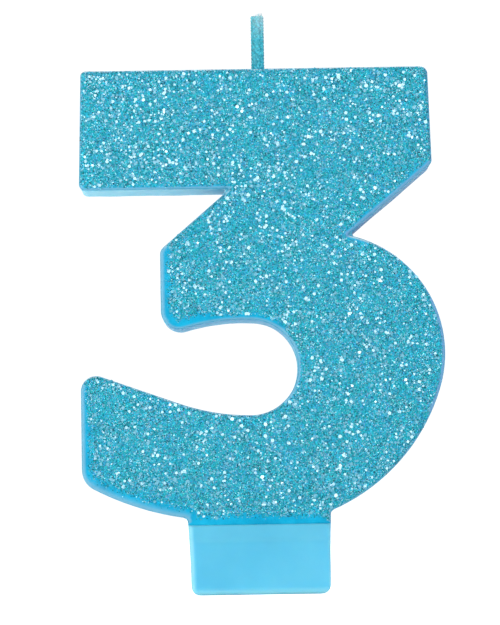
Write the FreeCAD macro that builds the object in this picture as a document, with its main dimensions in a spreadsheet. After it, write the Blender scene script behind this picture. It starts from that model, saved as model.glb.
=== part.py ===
"""A number birthday candle, the figure 3, as a parametric document.

The candle stands on the end of its tab, with +X to the right, +Z up and the glitter front
facing -Y. The origin is on the tab's end face, at mid-thickness. Everything is in millimetres.

Pieces:
  wax_numeral   the casting: the figure and the tab that goes into the cake, with the wick's channel
  colour_coat   the dyed layer over the figure's front, ending in a straight line above the tab
  glitter_film  the fine flakes in their clear binder, over the flat of the coat
  large_flakes  the larger six-sided flakes that lie proud of the film, each a solid of its own
  wick_core     the length of wick cast into the figure
  wick_tail     the length of wick that stands out of the wax and bends at its foot
"""
import FreeCAD, Part
import math
import os
import random

import Sketcher

V = FreeCAD.Vector
UP = V(0, 0, 1)

# a sketch's names for the points of a line or an arc, and for its own origin
START, END, CENTRE = 1, 2, 3
ORIGIN = (-1, START)

CLOSE = 0.01        # mm, within which two places are the same
CUT_PAST = 1.0      # mm, how far a cut's profile runs past what it cuts

# ---------------------------------------------------------------- driving dimensions, in mm

DIMENSIONS = {
    # whole figure
    "figure_top": 82.6,             # height of the top edge over the tab's end
    "figure_depth": 11.0,           # front of the coat to the back of the wax
    "back_round": 0.4,
    # top bar: its ends flare outwards downwards
    "bar_underside": 63.75,
    "bar_left_flare": 1.45,         # degrees from upright
    "bar_left_foot": 27.6,          # left end, where its lower corner begins
    "bar_right_flare": 1.65,
    "bar_right_head": 27.5,         # right end, where its upper corner ends
    "bar_upper_left_round": 0.8,
    "bar_lower_left_round": 1.0,
    "bar_upper_right_round": 1.2,
    "bar_lower_right_round": 0.9,
    # the stroke that runs down from the bar to the middle of the figure
    "stroke_left_angle": 40.6,      # degrees from level
    "stroke_left_head": 4.15,       # where its left edge runs into the bar's underside
    "stroke_right_angle": 39.9,
    "stroke_right_foot": 14.75,     # where its right edge runs into the bowl
    "notch_round": 0.15,
    # the blunt end of the middle, left of the counter
    "middle_left": 15.0,
    "middle_upper_round": 1.5,
    "middle_lower_round": 2.9,
    "middle_lower_centre": 44.6,    # height of the lower corner's centre
    # counter: the open space between the middle and the lower arm
    "counter_end_radius": 7.5,
    "counter_end_x": 1.1,
    "counter_end_z": 35.55,
    "counter_roof_radius": 32.0,
    "counter_floor_radius": 34.8,
    "counter_floor_start": 12.4,
    # lower arm
    "arm_left": 27.7,
    "arm_top_slope": 19.75,         # degrees from level
    "arm_upper_round": 2.4,
    "arm_lower_round": 3.5,
    "arm_curve_radius": 44.4,
    "arm_curve_x": 5.15,
    "arm_curve_z": 56.1,
    # bowl
    "bowl_upper_radius": 18.95,
    "bowl_upper_x": 10.5,
    "bowl_upper_z": 37.6,
    "bowl_lower_radius": 30.15,
    "bowl_lower_x": 0.2,
    # tab
    "tab_left_lean": 1.9,           # degrees from upright
    "tab_right_lean": 0.55,
    "tab_left_top": 11.25,
    "tab_right_top": 11.1,
    "tab_corner_round": 1.4,
    "tab_blend_round": 0.7,
    "tab_recess": 1.0,              # how far the tab's front stands behind the figure's
    "tab_slope_top": 11.0,
    "tab_slope_foot": 8.7,
    "tab_edge_round": 0.8,
    # coat and glitter
    "coat_thickness": 0.7,
    "coat_round": 0.55,
    "coat_foot": 11.0,              # the straight lower edge of the coat
    "glitter_margin": 0.8,          # bare coat left around the flakes
    "glitter_thickness": 0.12,
    "flake_count": 220,
    "flake_sides": 6,
    "flake_across": 0.5,            # corner to corner
    "flake_thickness": 0.04,
    # wick
    "wick_x": 0.8,
    "wick_radius": 1.0,
    "wick_embedded": 36.0,
    "wick_exposed": 9.1,
    "wick_tip_radius": 0.75,
    "wick_tip_taper": 0.6,
    "wick_clearance": 0.03,         # air under the bending foot of the wick
}


def fill_sheet(doc):
    """Write each driving dimension into a row of the sheet: name, value, alias."""
    sheet = doc.addObject("Spreadsheet::Sheet", "dims")
    for row, (name, value) in enumerate(DIMENSIONS.items(), start=1):
        sheet.set(f"A{row}", name)
        sheet.set(f"B{row}", str(value))
        sheet.setAlias(f"B{row}", name)
    doc.recompute()
    return sheet


def sheet_values(sheet):
    """The sheet's values by name."""
    return {name: float(sheet.get(name)) for name in DIMENSIONS}


# ---------------------------------------------------------------- sketching helpers

def origin_plane(body, role):
    return next(feature for feature in body.Origin.OriginFeatures if feature.Role == role)


def body_sketch(body, name, role):
    """A sketch on one of the body's own origin planes."""
    sketch = body.newObject("Sketcher::SketchObject", name)
    sketch.AttachmentSupport = [(origin_plane(body, role), "")]
    sketch.MapMode = "FlatFace"
    return sketch


def hold(sketch, kind, *where, to):
    """A dimension bound to a cell of the sheet, or to a formula of cells."""
    value = float(sketch.evalExpression(to))
    if kind == "Angle":
        value = math.radians(value)
    index = sketch.addConstraint(Sketcher.Constraint(kind, *where, value))
    sketch.setExpression(f"Constraints[{index}]", to)


def place_of(sketch, x, y):
    """The point at these two formulas of cells."""
    return V(float(sketch.evalExpression(x)), float(sketch.evalExpression(y)))


class Loop:
    """A closed loop of lines and arcs, drawn clockwise and then held by constraints."""

    def __init__(self, sketch, start):
        self.sketch = sketch
        self.at = V(*start)
        self.pieces = []            # (geometry index, entry vertex, exit vertex)
        self.ids = {}

    def line(self, name, end):
        end = V(*end)
        index = self.sketch.addGeometry(Part.LineSegment(self.at, end))
        self._add(name, index, START, END, end)

    def arc(self, name, end, radius, clockwise=True):
        """The shorter arc of this radius from the last point to the end."""
        end = V(*end)
        chord = end - self.at
        rise = math.sqrt(max(radius ** 2 - chord.Length ** 2 / 4, 0))
        side = -1 if clockwise else 1
        across = V(-chord.y, chord.x).normalize() * side
        centre = (self.at + end) * 0.5 + across * rise
        circle = Part.Circle(centre, UP, radius)
        entry = math.atan2(self.at.y - centre.y, self.at.x - centre.x)
        leave = math.atan2(end.y - centre.y, end.x - centre.x)
        if clockwise:
            index = self.sketch.addGeometry(Part.ArcOfCircle(circle, leave, entry))
            self._add(name, index, END, START, end)
        else:
            index = self.sketch.addGeometry(Part.ArcOfCircle(circle, entry, leave))
            self._add(name, index, START, END, end)

    def _add(self, name, index, entry, leave, end):
        self.pieces.append((index, entry, leave))
        self.ids[name] = index
        self.at = end

    def join(self, sharp=()):
        """Join each piece to the next: tangent, or meeting at a corner where named sharp."""
        names = list(self.ids)
        for place, (index, _, leave) in enumerate(self.pieces):
            following, entry, _ = self.pieces[(place + 1) % len(self.pieces)]
            kind = "Coincident" if names[place] in sharp else "Tangent"
            self.sketch.addConstraint(Sketcher.Constraint(kind, index, leave, following, entry))

    def hold_radii(self, radii):
        for name, to in radii.items():
            hold(self.sketch, "Radius", self.ids[name], to=to)

    def hold_angles(self, angles):
        """Directions of lines, in degrees from +X, along the way the loop is drawn."""
        for name, to in angles.items():
            hold(self.sketch, "Angle", self.ids[name], to=to)

    def hold_place(self, name, vertex, x=None, z=None):
        """How far one vertex is from the sketch's origin, across and up."""
        if x:
            hold(self.sketch, "DistanceX", *ORIGIN, self.ids[name], vertex, to=x)
        if z:
            hold(self.sketch, "DistanceY", *ORIGIN, self.ids[name], vertex, to=z)


# ---------------------------------------------------------------- the outline of the figure

def figure_outline(sketch, with_tab):
    """The outline of the 3, clockwise, as far down as the tab's end or as the coat's foot.

    The points here only say roughly where the pieces meet. The dimensions bound to the sheet
    set the shape.
    """
    foot = 0 if with_tab else float(sketch.evalExpression("dims.coat_foot"))
    loop = Loop(sketch, (-10.7, 1.4) if with_tab else (-11.1, foot))

    # up the left side of the tab, and out along the lower arm
    loop.line("tab_left", (-11.1, 11.55))
    loop.arc("tab_blend", (-11.75, 12.25), 0.7, clockwise=False)
    loop.arc("arm_curve", (-25.8, 16.85), 44.4)
    loop.arc("arm_lower_corner", (-27.7, 19.95), 3.5)
    loop.line("arm_end", (-27.7, 32.2))
    loop.arc("arm_upper_corner", (-24.5, 34.4), 2.4)
    loop.line("arm_top", (-12.4, 30.1))
    # round the counter
    loop.arc("counter_floor", (-1.2, 28.05), 34.8, clockwise=False)
    loop.arc("counter_end", (-0.9, 43.05), 7.5, clockwise=False)
    loop.arc("counter_roof", (-10.65, 41.8), 32.0, clockwise=False)
    # the blunt end of the middle, and up the stroke to the bar
    loop.arc("middle_lower_corner", (-15.0, 45.1), 3.4)
    loop.line("middle_end", (-15.0, 53.5))
    loop.arc("middle_upper_corner", (-14.5, 54.6), 1.5)
    loop.line("stroke_left", (-4.15, 63.5))
    loop.arc("bar_notch", (-4.25, 63.75), 0.15, clockwise=False)
    # round the top bar
    loop.line("bar_underside", (-26.3, 63.75))
    loop.arc("bar_lower_left_corner", (-27.5, 65.0), 1.3)
    loop.line("bar_left", (-27.1, 81.9))
    loop.arc("bar_upper_left_corner", (-26.5, 82.5), 0.6)
    loop.line("bar_top", (26.25, 82.5))
    loop.arc("bar_upper_right_corner", (27.4, 81.35), 1.2)
    loop.line("bar_right", (27.8, 67.65))
    loop.arc("bar_lower_right_corner", (27.5, 66.95), 0.9)
    loop.line("stroke_right", (14.75, 56.3))
    loop.arc("bowl_notch", (14.8, 56.05), 0.15, clockwise=False)
    # down the bowl to the foot
    loop.arc("bowl_upper", (28.65, 32.15), 18.95)
    loop.arc("bowl_lower", (11.1, 12.95), 30.15)
    loop.arc("tab_notch", (11.0, 12.8), 0.15, clockwise=False)
    if with_tab:
        loop.line("tab_right", (10.9, 1.4))
        loop.arc("tab_right_corner", (9.5, foot), 1.4)
        loop.line("foot", (-9.35, foot))
        loop.arc("tab_left_corner", (-10.7, 1.4), 1.4)
        loop.join()
    else:
        loop.line("tab_right", (11.0, foot))
        loop.line("foot", (-11.1, foot))
        loop.join(sharp=("tab_right", "foot"))

    loop.hold_radii({
        "tab_blend": "dims.tab_blend_round",
        "arm_curve": "dims.arm_curve_radius",
        "arm_lower_corner": "dims.arm_lower_round",
        "arm_upper_corner": "dims.arm_upper_round",
        "counter_floor": "dims.counter_floor_radius",
        "counter_end": "dims.counter_end_radius",
        "counter_roof": "dims.counter_roof_radius",
        "middle_lower_corner": "dims.middle_lower_round",
        "middle_upper_corner": "dims.middle_upper_round",
        "bar_notch": "dims.notch_round",
        "bar_lower_left_corner": "dims.bar_lower_left_round",
        "bar_upper_left_corner": "dims.bar_upper_left_round",
        "bar_upper_right_corner": "dims.bar_upper_right_round",
        "bar_lower_right_corner": "dims.bar_lower_right_round",
        "bowl_notch": "dims.notch_round",
        "bowl_upper": "dims.bowl_upper_radius",
        "bowl_lower": "dims.bowl_lower_radius",
        "tab_notch": "dims.notch_round",
    })
    loop.hold_angles({
        "tab_left": "90 + dims.tab_left_lean",
        "arm_end": "90",
        "arm_top": "-dims.arm_top_slope",
        "middle_end": "90",
        "stroke_left": "dims.stroke_left_angle",
        "bar_underside": "180",
        "bar_left": "90 - dims.bar_left_flare",
        "bar_top": "0",
        "bar_right": "-90 + dims.bar_right_flare",
        "stroke_right": "-180 + dims.stroke_right_angle",
        "tab_right": "-90 - dims.tab_right_lean",
        "foot": "180",
    })
    loop.hold_place("tab_left", END, x="-dims.tab_left_top")
    loop.hold_place("arm_curve", CENTRE, x="-dims.arm_curve_x", z="dims.arm_curve_z")
    loop.hold_place("arm_end", START, x="-dims.arm_left")
    loop.hold_place("arm_top", END, x="-dims.counter_floor_start")
    loop.hold_place("counter_end", CENTRE, x="-dims.counter_end_x", z="dims.counter_end_z")
    loop.hold_place("middle_lower_corner", CENTRE, z="dims.middle_lower_centre")
    loop.hold_place("middle_end", START, x="-dims.middle_left")
    loop.hold_place("stroke_left", END, x="-dims.stroke_left_head")
    loop.hold_place("bar_underside", START, z="dims.bar_underside")
    loop.hold_place("bar_left", START, x="-dims.bar_left_foot")
    loop.hold_place("bar_top", START, z="dims.figure_top")
    loop.hold_place("bar_right", START, x="dims.bar_right_head")
    loop.hold_place("stroke_right", END, x="dims.stroke_right_foot")
    loop.hold_place("bowl_upper", CENTRE, x="dims.bowl_upper_x", z="dims.bowl_upper_z")
    loop.hold_place("bowl_lower", CENTRE, x="-dims.bowl_lower_x")
    loop.hold_place("tab_right", START, x="dims.tab_right_top")
    if with_tab:
        loop.hold_radii({
            "tab_right_corner": "dims.tab_corner_round",
            "tab_left_corner": "dims.tab_corner_round",
        })
        loop.hold_place("foot", START, z="0")
    else:
        loop.hold_place("foot", START, z="dims.coat_foot")


# ---------------------------------------------------------------- small feature helpers

def polygon(sketch, corners):
    """A closed polygon. Each corner is (x, y), two formulas of cells that its place is bound to."""
    places = [place_of(sketch, *corner) for corner in corners]
    last = len(places) - 1
    lines = []
    for i, place in enumerate(places):
        following = places[0 if i == last else i + 1]
        lines.append(sketch.addGeometry(Part.LineSegment(place, following)))
    for i, line in enumerate(lines):
        following = lines[0 if i == last else i + 1]
        sketch.addConstraint(Sketcher.Constraint("Coincident", line, END, following, START))
    for line, (x, y) in zip(lines, corners):
        hold(sketch, "DistanceX", *ORIGIN, line, START, to=x)
        hold(sketch, "DistanceY", *ORIGIN, line, START, to=y)


def circle(sketch, x, y, radius):
    """A circle whose centre and radius are bound to formulas of cells."""
    shape = Part.Circle(place_of(sketch, x, y), UP, float(sketch.evalExpression(radius)))
    index = sketch.addGeometry(shape)
    hold(sketch, "DistanceX", *ORIGIN, index, CENTRE, to=x)
    hold(sketch, "DistanceY", *ORIGIN, index, CENTRE, to=y)
    hold(sketch, "Radius", index, to=radius)


def pad(body, name, sketch, length):
    feature = body.newObject("PartDesign::Pad", name)
    feature.Profile = sketch
    feature.setExpression("Length", length)
    return feature


def fillet(body, name, base, picks, radius):
    """Round those edges of the base that the test picks."""
    feature = body.newObject("PartDesign::Fillet", name)
    numbers = [f"Edge{i}" for i, edge in enumerate(base.Shape.Edges, start=1) if picks(edge)]
    feature.Base = (base, numbers)
    feature.setExpression("Radius", radius)
    return feature


def at_depth(edge, y):
    """True for an edge that lies in the plane at this depth."""
    box = edge.BoundBox
    return abs(box.YMin - y) < CLOSE and abs(box.YMax - y) < CLOSE


# ---------------------------------------------------------------- the pieces

def make_wax_numeral(doc, size):
    """The casting, padded forwards from its back face, which is the body's own XZ plane."""
    body = doc.addObject("PartDesign::Body", "wax_numeral")
    body.setExpression("Placement.Base.y", "dims.figure_depth / 2")
    wax_depth = "dims.figure_depth - dims.coat_thickness"
    outline = body_sketch(body, "numeral_outline", "XZ_Plane")
    figure_outline(outline, with_tab=True)
    pad(body, "figure", outline, wax_depth)
    doc.recompute()

    # the tab's front slopes back below the figure, then drops straight to the end
    side_view = body_sketch(body, "tab_side_view", "YZ_Plane")
    front, recessed = f"-({wax_depth})", f"-({wax_depth}) + dims.tab_recess"
    polygon(side_view, [
        (front, "dims.tab_slope_top"),
        (recessed, "dims.tab_slope_foot"),
        (recessed, f"-{CUT_PAST}"),
        (f"{front} - {CUT_PAST}", f"-{CUT_PAST}"),
        (f"{front} - {CUT_PAST}", "dims.tab_slope_top"),
    ])
    recess = body.newObject("PartDesign::Pocket", "tab_recess")
    recess.Profile = side_view
    recess.SideType = "Symmetric"
    recess.Type = "ThroughAll"
    doc.recompute()

    # softened edges: down the sides and along the end of the tab's front, and all round the back
    tab_front = size["coat_thickness"] + size["tab_recess"] - size["figure_depth"]
    tab_edges = fillet(body, "tab_edges", recess, lambda edge: (
        at_depth(edge, tab_front) and edge.BoundBox.ZMin < size["tab_slope_foot"] - CLOSE),
        "dims.tab_edge_round")
    doc.recompute()
    fillet(body, "back_edges", tab_edges, lambda edge: at_depth(edge, 0), "dims.back_round")
    doc.recompute()

    # the wick's channel, down from the middle of the top edge
    channel_sketch = body_sketch(body, "wick_channel_section", "XY_Plane")
    channel_sketch.setExpression(".AttachmentOffset.Base.z", "dims.figure_top")
    circle(channel_sketch, "dims.wick_x", "-dims.figure_depth / 2", "dims.wick_radius")
    channel = body.newObject("PartDesign::Pocket", "wick_channel")
    channel.Profile = channel_sketch
    channel.setExpression("Length", "dims.wick_embedded")
    return body


def make_colour_coat(doc, size):
    """The dyed layer over the wax, as wide as the figure, with its front edge rounded."""
    body = doc.addObject("PartDesign::Body", "colour_coat")
    body.setExpression("Placement.Base.y", "dims.coat_thickness - dims.figure_depth / 2")
    outline = body_sketch(body, "coat_outline", "XZ_Plane")
    figure_outline(outline, with_tab=False)
    layer = pad(body, "layer", outline, "dims.coat_thickness")
    doc.recompute()
    front = -size["coat_thickness"]
    fillet(body, "front_edges", layer, lambda edge: (
        at_depth(edge, front) and edge.BoundBox.ZMax > size["coat_foot"] + CLOSE),
        "dims.coat_round")
    return body


def make_glitter_film(doc):
    """The flakes in their binder: the coat's outline, drawn in by the margin."""
    outline = doc.addObject("Sketcher::SketchObject", "glitter_outline")
    outline.Placement.Rotation = FreeCAD.Rotation(V(1, 0, 0), 90)
    outline.setExpression("Placement.Base.y", "-dims.figure_depth / 2")
    figure_outline(outline, with_tab=False)
    doc.recompute()
    drawn_in = doc.addObject("Part::Offset2D", "glitter_edge")
    drawn_in.Source = outline
    drawn_in.setExpression("Value", "-dims.glitter_margin")
    film = doc.addObject("Part::Extrusion", "glitter_film")
    film.Base = drawn_in
    film.DirMode = "Custom"
    film.Dir = V(0, -1, 0)
    film.Solid = True
    film.setExpression("LengthFwd", "dims.glitter_thickness")
    return film


def make_large_flakes(doc, size, film):
    """Six-sided flakes lying flat on the film, scattered clear of its edge and of each other."""
    front = -size["figure_depth"] / 2 - size["glitter_thickness"]
    reach = size["flake_across"] / 2
    spacing = size["flake_across"] * 2
    sides = int(size["flake_sides"])
    face = next(face for face in film.Shape.Faces if abs(face.CenterOfMass.y - front) < CLOSE)
    span = face.BoundBox
    scatter = random.Random(3)
    flakes = []
    places = []
    while len(flakes) < size["flake_count"]:
        place = V(scatter.uniform(span.XMin, span.XMax), front, scatter.uniform(span.ZMin, span.ZMax))
        turn = scatter.uniform(0, 2 * math.pi)
        crowded = any(place.distanceToPoint(other) < spacing for other in places)
        if crowded or not face.isInside(place, CLOSE, True):
            continue
        if face.OuterWire.distToShape(Part.Vertex(place))[0] < reach:
            continue
        corners = []
        for corner in range(sides + 1):
            angle = turn + 2 * math.pi * corner / sides
            corners.append(place + V(reach * math.cos(angle), 0, reach * math.sin(angle)))
        flake = Part.Face(Part.makePolygon(corners))
        flakes.append(flake.extrude(V(0, -size["flake_thickness"], 0)))
        places.append(place)
    group = doc.addObject("Part::Feature", "large_flakes")
    group.Shape = Part.makeCompound(flakes)
    return group


def make_wick_core(doc):
    """The cast-in length of the wick, filling its channel."""
    core = doc.addObject("Part::Cylinder", "wick_core")
    core.setExpression("Radius", "dims.wick_radius")
    core.setExpression("Height", "dims.wick_embedded")
    core.setExpression("Placement.Base.x", "dims.wick_x")
    core.setExpression("Placement.Base.z", "dims.figure_top - dims.wick_embedded")
    return core


def make_wick_tail(doc, size):
    """The free length, turned about its own axis: a round foot to bend on and a taper at the tip.

    The body's origin is the centre of the round foot, which the wick bends about.
    """
    body = doc.addObject("PartDesign::Body", "wick_tail")
    body.setExpression("Placement.Base.x", "dims.wick_x")
    body.setExpression("Placement.Base.z",
                       "dims.figure_top + dims.wick_clearance + dims.wick_radius")
    radius = size["wick_radius"]
    top = size["wick_exposed"] - size["wick_clearance"] - radius
    shoulder = top - size["wick_tip_taper"]
    tip = size["wick_tip_radius"]
    profile = body_sketch(body, "wick_profile", "XZ_Plane")
    loop = Loop(profile, (0, -radius))
    loop.arc("foot", (radius, 0), radius, clockwise=False)
    loop.line("side", (radius, shoulder))
    loop.line("taper", (tip, top))
    loop.line("tip", (0, top))
    loop.line("axis", (0, -radius))
    loop.join(sharp=("side", "taper", "tip", "axis"))
    top_cell = "dims.wick_exposed - dims.wick_clearance - dims.wick_radius"
    loop.hold_radii({"foot": "dims.wick_radius"})
    loop.hold_angles({"side": "90", "tip": "180"})
    loop.hold_place("foot", CENTRE, x="0", z="0")
    loop.hold_place("axis", START, x="0")
    loop.hold_place("axis", END, x="0")
    loop.hold_place("taper", START, z=f"{top_cell} - dims.wick_tip_taper")
    loop.hold_place("tip", START, x="dims.wick_tip_radius", z=top_cell)
    turned = body.newObject("PartDesign::Revolution", "turned")
    turned.Profile = profile
    turned.ReferenceAxis = (profile, ["V_Axis"])
    turned.Angle = 360
    return body


# ---------------------------------------------------------------- check and write

def check(doc, solids_in):
    """Stop before anything is written if a feature failed or a piece isn't the solids it should be."""
    for item in doc.Objects:
        bad = {"Invalid", "Error"} & set(item.State)
        if bad:
            raise RuntimeError(f"{item.Name} is {', '.join(bad)}")
        if item.TypeId == "Sketcher::SketchObject" and not item.FullyConstrained:
            raise RuntimeError(f"{item.Name} is not fully constrained")
    for piece, count in solids_in.items():
        shape = piece.Shape
        if shape.isNull() or not shape.isValid() or len(shape.Solids) != count:
            raise RuntimeError(f"{piece.Label} is not {count} valid solid or solids")


def main():
    doc = FreeCAD.newDocument("number_candle")
    size = sheet_values(fill_sheet(doc))
    wax = make_wax_numeral(doc, size)
    coat = make_colour_coat(doc, size)
    film = make_glitter_film(doc)
    core = make_wick_core(doc)
    tail = make_wick_tail(doc, size)
    doc.recompute()
    flakes = make_large_flakes(doc, size, film)
    doc.recompute()
    solids_in = {wax: 1, coat: 1, film: 1, flakes: size["flake_count"], core: 1, tail: 1}
    check(doc, solids_in)
    os.makedirs("parts", exist_ok=True)
    for piece in solids_in:
        piece.Shape.exportStep(f"parts/{piece.Label}.step")
        box = piece.Shape.BoundBox
        spans = f"{box.XLength:.2f} x {box.YLength:.2f} x {box.ZLength:.2f} mm"
        print(f"{piece.Label}: {spans}, {piece.Shape.Volume:.1f} mm3")


main()
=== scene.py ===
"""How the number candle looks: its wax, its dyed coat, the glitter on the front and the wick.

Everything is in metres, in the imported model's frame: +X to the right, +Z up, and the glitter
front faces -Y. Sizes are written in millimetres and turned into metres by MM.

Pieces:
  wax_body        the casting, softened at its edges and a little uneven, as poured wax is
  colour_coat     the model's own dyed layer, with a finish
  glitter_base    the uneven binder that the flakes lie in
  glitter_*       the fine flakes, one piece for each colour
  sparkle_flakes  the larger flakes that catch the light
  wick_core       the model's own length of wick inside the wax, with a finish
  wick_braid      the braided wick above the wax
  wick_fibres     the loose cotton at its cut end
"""
import math

import bmesh
import bpy
import numpy as np
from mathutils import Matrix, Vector, geometry, kdtree, noise


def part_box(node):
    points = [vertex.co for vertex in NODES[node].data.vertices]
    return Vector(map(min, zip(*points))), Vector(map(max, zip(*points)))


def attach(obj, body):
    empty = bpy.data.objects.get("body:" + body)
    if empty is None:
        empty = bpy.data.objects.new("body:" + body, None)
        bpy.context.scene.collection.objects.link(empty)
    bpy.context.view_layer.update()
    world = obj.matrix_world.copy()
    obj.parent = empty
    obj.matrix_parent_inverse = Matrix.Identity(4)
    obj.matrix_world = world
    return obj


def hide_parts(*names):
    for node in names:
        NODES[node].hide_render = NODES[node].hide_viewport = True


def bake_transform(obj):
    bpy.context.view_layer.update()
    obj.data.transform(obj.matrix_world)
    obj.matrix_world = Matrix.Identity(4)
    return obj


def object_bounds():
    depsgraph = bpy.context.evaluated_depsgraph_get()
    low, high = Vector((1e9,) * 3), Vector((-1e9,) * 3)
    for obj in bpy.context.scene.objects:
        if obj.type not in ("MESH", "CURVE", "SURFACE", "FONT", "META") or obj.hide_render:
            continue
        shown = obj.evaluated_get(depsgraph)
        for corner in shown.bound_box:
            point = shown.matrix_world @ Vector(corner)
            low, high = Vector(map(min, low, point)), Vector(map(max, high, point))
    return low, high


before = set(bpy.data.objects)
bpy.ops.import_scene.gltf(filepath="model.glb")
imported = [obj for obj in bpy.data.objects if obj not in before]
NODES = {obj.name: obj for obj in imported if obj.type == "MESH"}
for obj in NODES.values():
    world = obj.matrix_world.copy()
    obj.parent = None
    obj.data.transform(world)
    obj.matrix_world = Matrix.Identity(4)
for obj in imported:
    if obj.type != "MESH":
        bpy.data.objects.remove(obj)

MM = 0.001
CAD_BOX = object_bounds()


# ---------------------------------------------------------------- small helpers

def link(name, mesh, material, body=None):
    """A new piece in the scene, which takes its finish from a slot. It rides on a body if one is given."""
    piece = bpy.data.objects.new(name, mesh)
    bpy.context.scene.collection.objects.link(piece)
    mesh.materials.clear()
    mesh.materials.append(material)
    if body:
        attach(piece, body)
    return piece


def mesh_from(name, points, faces):
    mesh = bpy.data.meshes.new(name)
    mesh.from_pydata([tuple(p) for p in points], [], faces)
    mesh.update()
    return mesh


def coordinates(mesh):
    values = np.empty(len(mesh.vertices) * 3, np.float32)
    mesh.vertices.foreach_get("co", values)
    return values.reshape(-1, 3).astype(float)


def set_attribute(mesh, name, values):
    attribute = mesh.attributes.new(name, "FLOAT", "POINT")
    attribute.data.foreach_set("value", np.asarray(values, np.float32))


def set_coordinates(mesh, points):
    mesh.vertices.foreach_set("co", np.asarray(points, np.float32).ravel())
    mesh.update()


def triangles(mesh):
    mesh.calc_loop_triangles()
    values = np.empty(len(mesh.loop_triangles) * 3, np.int32)
    mesh.loop_triangles.foreach_get("vertices", values)
    return values.reshape(-1, 3)


def remeshed(mesh, voxel):
    """A copy of a closed mesh, rebuilt from even quads of about this size."""
    holder = bpy.data.objects.new("remesh_holder", mesh)
    bpy.context.scene.collection.objects.link(holder)
    modifier = holder.modifiers.new("Remesh", "REMESH")
    modifier.mode = "VOXEL"
    modifier.voxel_size = voxel
    modifier.use_smooth_shade = True
    result = bpy.data.meshes.new_from_object(
        holder.evaluated_get(bpy.context.evaluated_depsgraph_get()))
    bpy.data.objects.remove(holder)
    return result


class Tubes:
    """Closed tubes in one mesh, each made of rings with the same number of points."""

    def __init__(self, around):
        self.around = around
        self.points = []
        self.faces = []

    def ring_angles(self):
        return [2 * math.pi * k / self.around for k in range(self.around)]

    def add(self, rings):
        around = self.around
        first = len(self.points)
        last = first + (len(rings) - 1) * around
        for ring in rings:
            self.points.extend(ring)
        for start in range(first, last, around):
            for k in range(around):
                a, b = start + k, start + (k + 1) % around
                self.faces.append((a, b, b + around, a + around))
        self.faces.append(tuple(first + k for k in reversed(range(around))))
        self.faces.append(tuple(last + k for k in range(around)))


def smooth_step(value):
    """0 below 0, 1 above 1, and a smooth curve between them."""
    value = np.clip(value, 0, 1)
    return value * value * (3 - 2 * value)


# ---------------------------------------------------------------- materials

class Finish:
    """A Principled material and short ways to add the nodes that drive it."""

    def __init__(self, name, **values):
        self.material = bpy.data.materials.new(name)
        self.material.use_nodes = True
        self.nodes = self.material.node_tree.nodes
        self.links = self.material.node_tree.links
        self.shader = self.nodes["Principled BSDF"]
        for socket, value in values.items():
            self.shader.inputs[socket.replace("_", " ")].default_value = value

    def add(self, kind, **inputs):
        node = self.nodes.new("ShaderNode" + kind)
        for socket, value in inputs.items():
            node.inputs[socket.replace("_", " ")].default_value = value
        return node

    def join(self, source, target):
        self.links.new(source, target)

    def place(self):
        """Object coordinates, so a pattern stays with its piece at any pose."""
        return self.add("TexCoord").outputs["Object"]

    def noise(self, scale, detail=2.0, roughness=0.5):
        """Noise whose features are about this many millimetres across."""
        node = self.add("TexNoise", Scale=1 / (scale * MM), Detail=detail, Roughness=roughness)
        self.join(self.place(), node.inputs["Vector"])
        return node.outputs["Fac"]

    def ramp(self, source, stops):
        """A colour for each value of the source."""
        node = self.add("ValToRGB")
        self.join(source, node.inputs["Fac"])
        elements = node.color_ramp.elements
        while len(elements) < len(stops):
            elements.new(0.5)
        for element, (position, colour) in zip(elements, stops):
            element.position = position
            element.color = (*colour, 1)
        return node.outputs["Color"]

    def blend(self, factor, first, second):
        """From the first colour to the second as the factor goes from 0 to 1. The second is constant
        or a socket."""
        node = self.add("Mix")
        node.data_type = "RGBA"
        self.join(factor, node.inputs["Factor"])
        self.join(first, node.inputs[6])
        if isinstance(second, tuple):
            node.inputs[7].default_value = (*second, 1)
        else:
            self.join(second, node.inputs[7])
        return node.outputs[2]

    def attribute(self, name):
        """A value stored at each of the mesh's points."""
        node = self.add("Attribute")
        node.attribute_name = name
        return node.outputs["Fac"]

    def along(self, axis, start, end):
        """0 to 1 from start to end along one of the object's axes."""
        split = self.add("SeparateXYZ")
        self.join(self.place(), split.inputs["Vector"])
        node = self.add("MapRange", From_Min=start, From_Max=end)
        self.join(split.outputs[axis], node.inputs["Value"])
        return node.outputs["Result"]

    def spread(self, source, start, end):
        """0 to 1 as the source goes from start to end."""
        node = self.add("MapRange", From_Min=start, From_Max=end)
        self.join(source, node.inputs["Value"])
        return node.outputs["Result"]

    def between(self, source, low, high):
        """From low to high as the source goes from 0 to 1."""
        node = self.add("MapRange", To_Min=low, To_Max=high)
        self.join(source, node.inputs["Value"])
        return node.outputs["Result"]

    def cells(self, size):
        """Cells of about this many millimetres, each with its own random colour."""
        node = self.add("TexVoronoi", Scale=1 / (size * MM), Randomness=1.0)
        self.join(self.place(), node.inputs["Vector"])
        return node.outputs

    def times(self, source, factor):
        """The source times a constant or another source."""
        node = self.add("Math")
        node.operation = "MULTIPLY"
        self.join(source, node.inputs[0])
        if isinstance(factor, float):
            node.inputs[1].default_value = factor
        else:
            self.join(factor, node.inputs[1])
        return node.outputs["Value"]

    def range(self, source, low, high, socket):
        """The source's 0.3 to 0.7 spread over low to high, into one of the shader's inputs."""
        node = self.add("MapRange", From_Min=0.3, From_Max=0.7, To_Min=low, To_Max=high)
        self.join(source, node.inputs["Value"])
        self.join(node.outputs["Result"], self.shader.inputs[socket])

    def bump(self, source, height, socket="Normal", after=None):
        """Relief of this many millimetres, on top of an earlier bump if there is one."""
        node = self.add("Bump", Strength=1.0, Distance=height * MM)
        self.join(source, node.inputs["Height"])
        if after:
            self.join(after, node.inputs["Normal"])
        self.join(node.outputs["Normal"], self.shader.inputs[socket])
        return node.outputs["Normal"]


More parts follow.
